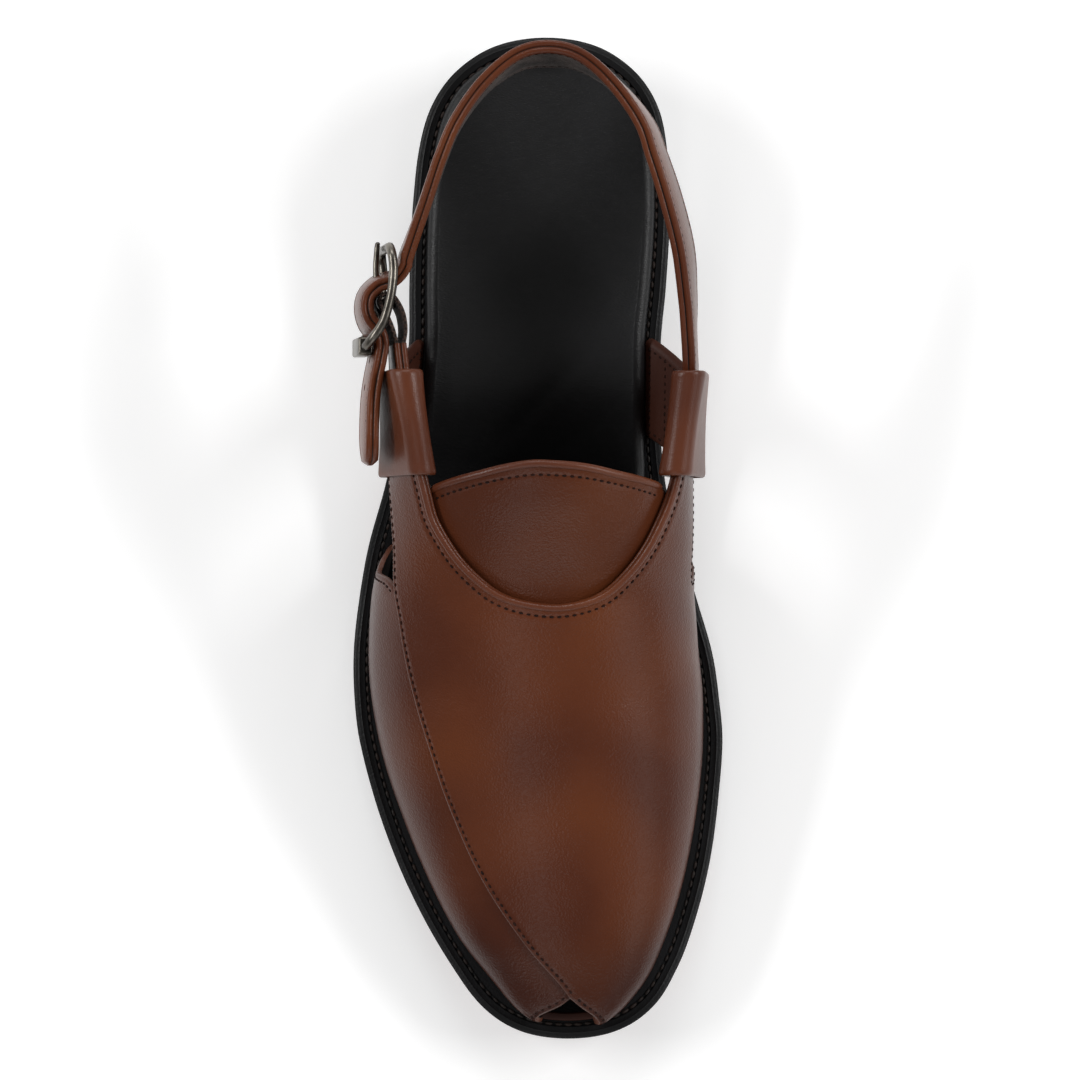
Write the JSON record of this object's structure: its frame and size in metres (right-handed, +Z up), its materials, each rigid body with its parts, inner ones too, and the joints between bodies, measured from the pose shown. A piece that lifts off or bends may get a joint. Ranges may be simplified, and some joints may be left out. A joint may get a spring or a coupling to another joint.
{
  "type": "peshawari chappal",
  "caption": "Right leather sandal shoe with a closed vamp, U throat, small toe opening, buckled heel strap, padded footbed and low stacked heel.",
  "frame": {"origin": "on the floor, under the centre of the heel", "axes": "toe along -Y, heel along +Y, outer (lateral) side -X, inner (medial) side +X, +Z up"},
  "size_m": [0.1102, 0.295, 0.0882],
  "materials": {
    "sole_leather": "waxed red-brown sole leather",
    "tread_rubber": "matte moulded rubber",
    "welt_leather": "inked black edge",
    "heel_stack": "inked black stacked leather",
    "footbed_leather": "soft black lining leather",
    "upper_leather": "burnished brown leather",
    "webbing": "woven dark brown elastic",
    "antique_nickel": "antiqued dark nickel plate"
  },
  "bodies": {
    "root": {"outsole": "sole_leather", "tread_pad": "tread_rubber", "welt": "welt_leather", "heel_block": "heel_stack", "top_lift": "sole_leather", "heel_tip": "tread_rubber", "insole": "footbed_leather", "upper": "upper_leather", "tongue": "upper_leather", "keeper_lateral": "upper_leather", "keeper_medial": "upper_leather", "heel_strap": "upper_leather", "chape_tab": "upper_leather", "buckle_elastic": "webbing", "buckle_frame": "antique_nickel", "buckle_roller": "antique_nickel", "buckle_prong": "antique_nickel"}
  },
  "joints": []
}
